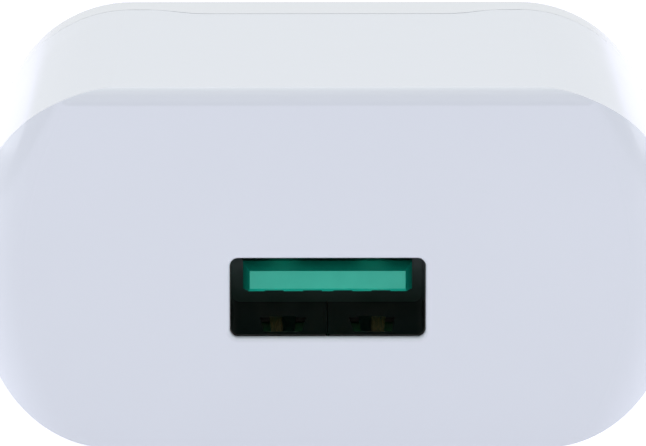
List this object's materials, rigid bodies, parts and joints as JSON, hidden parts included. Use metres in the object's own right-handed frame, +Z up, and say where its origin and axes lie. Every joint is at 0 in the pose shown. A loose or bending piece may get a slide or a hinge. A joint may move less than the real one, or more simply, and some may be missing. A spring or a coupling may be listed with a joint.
{
  "type": "usb wall charger",
  "caption": "Compact mains charger with a rounded glossy case, one USB-A socket in its front face and a two-pin round-pin plug behind.",
  "frame": {"origin": "midway between the two plug pins, on the plug's flat end face, which meets the socket outlet", "axes": "+Y along the pins, into the outlet; -Y is the way the USB socket faces; +X to the right seen from the USB side; +Z up, towards the case face nearest the socket's tongue"},
  "size_m": [0.0462, 0.0705, 0.024],
  "materials": {
    "white_case": "glossy moulded white polycarbonate",
    "plug_pin": "nickel plated brass, lightly worn",
    "pin_sleeve": "satin white polyamide",
    "brown_insulation": "satin PVC",
    "blue_insulation": "satin PVC",
    "circuit_board": "solder mask over glass epoxy",
    "port_steel": "nickel plated folded steel",
    "green_plastic": "moulded green PBT",
    "gold_contact": "gold flashed phosphor bronze",
    "ferrite": "sintered ferrite",
    "bobbin_plastic": "phenolic moulding",
    "enamelled_copper": "enamelled copper wire",
    "yellow_tape": "polyester tape",
    "capacitor_sleeve": "dark blue shrink sleeve",
    "capacitor_can": "drawn aluminium can",
    "choke_sleeve": "black shrink sleeve",
    "resistor_coating": "grey green cement coating",
    "blue_coating": "blue epoxy dip",
    "chip_plastic": "moulded epoxy",
    "chip_ceramic": "ceramic with tinned ends",
    "thermal_silicone": "soft silicone pad",
    "clear_sheet": "thin polyester sheet",
    "solder": "bright tin solder"
  },
  "bodies": {
    "charger": {"bridge_rectifier": "chip_plastic", "bulk_capacitor_inner": "capacitor_sleeve", "bulk_capacitor_outer": "capacitor_sleeve", "contact_tails": "gold_contact", "controller_ic": "chip_plastic", "daughter_board": "circuit_board", "filter_choke": "choke_sleeve", "front_housing": "white_case", "fusible_resistor": "resistor_coating", "insulation_sheet": "clear_sheet", "isolation_barrier": "clear_sheet", "live_lead": "brown_insulation", "live_pin": "plug_pin", "live_sleeve": "pin_sleeve", "main_pcb": "circuit_board", "neutral_lead": "blue_insulation", "neutral_pin": "plug_pin", "neutral_sleeve": "pin_sleeve", "optocoupler": "chip_plastic", "output_capacitor_front": "capacitor_can", "output_capacitor_rear": "capacitor_can", "protocol_ic": "chip_plastic", "rear_cover": "white_case", "smd_passives": "chip_ceramic", "solder_joints": "solder", "sync_rectifier_ic": "chip_plastic", "thermal_pad": "thermal_silicone", "transformer_bobbin": "bobbin_plastic", "transformer_core_lower": "ferrite", "transformer_core_upper": "ferrite", "transformer_tape": "yellow_tape", "transformer_winding": "enamelled_copper", "usb_insulator": "green_plastic", "usb_shell": "port_steel", "y_capacitor": "blue_coating"},
    "power_contact_spring": {"power_contact": "gold_contact"},
    "data_minus_contact_spring": {"data_minus_contact": "gold_contact"},
    "data_plus_contact_spring": {"data_plus_contact": "gold_contact"},
    "ground_contact_spring": {"ground_contact": "gold_contact"}
  },
  "joints": [
    {"name": "power_contact_flex", "type": "hinge", "parent": "charger", "child": "power_contact_spring", "pos_m": [-0.0035, -0.04096, -0.00126], "axis": [-1, 0, 0], "range_deg": [0, 3], "stiffness_Nm_per_rad": 0.11},
    {"name": "data_minus_contact_flex", "type": "hinge", "parent": "charger", "child": "data_minus_contact_spring", "pos_m": [-0.001, -0.04096, -0.00126], "axis": [-1, 0, 0], "range_deg": [0, 3], "stiffness_Nm_per_rad": 0.11},
    {"name": "data_plus_contact_flex", "type": "hinge", "parent": "charger", "child": "data_plus_contact_spring", "pos_m": [0.001, -0.04096, -0.00126], "axis": [-1, 0, 0], "range_deg": [0, 3], "stiffness_Nm_per_rad": 0.11},
    {"name": "ground_contact_flex", "type": "hinge", "parent": "charger", "child": "ground_contact_spring", "pos_m": [0.0035, -0.04096, -0.00126], "axis": [-1, 0, 0], "range_deg": [0, 3], "stiffness_Nm_per_rad": 0.11}
  ]
}
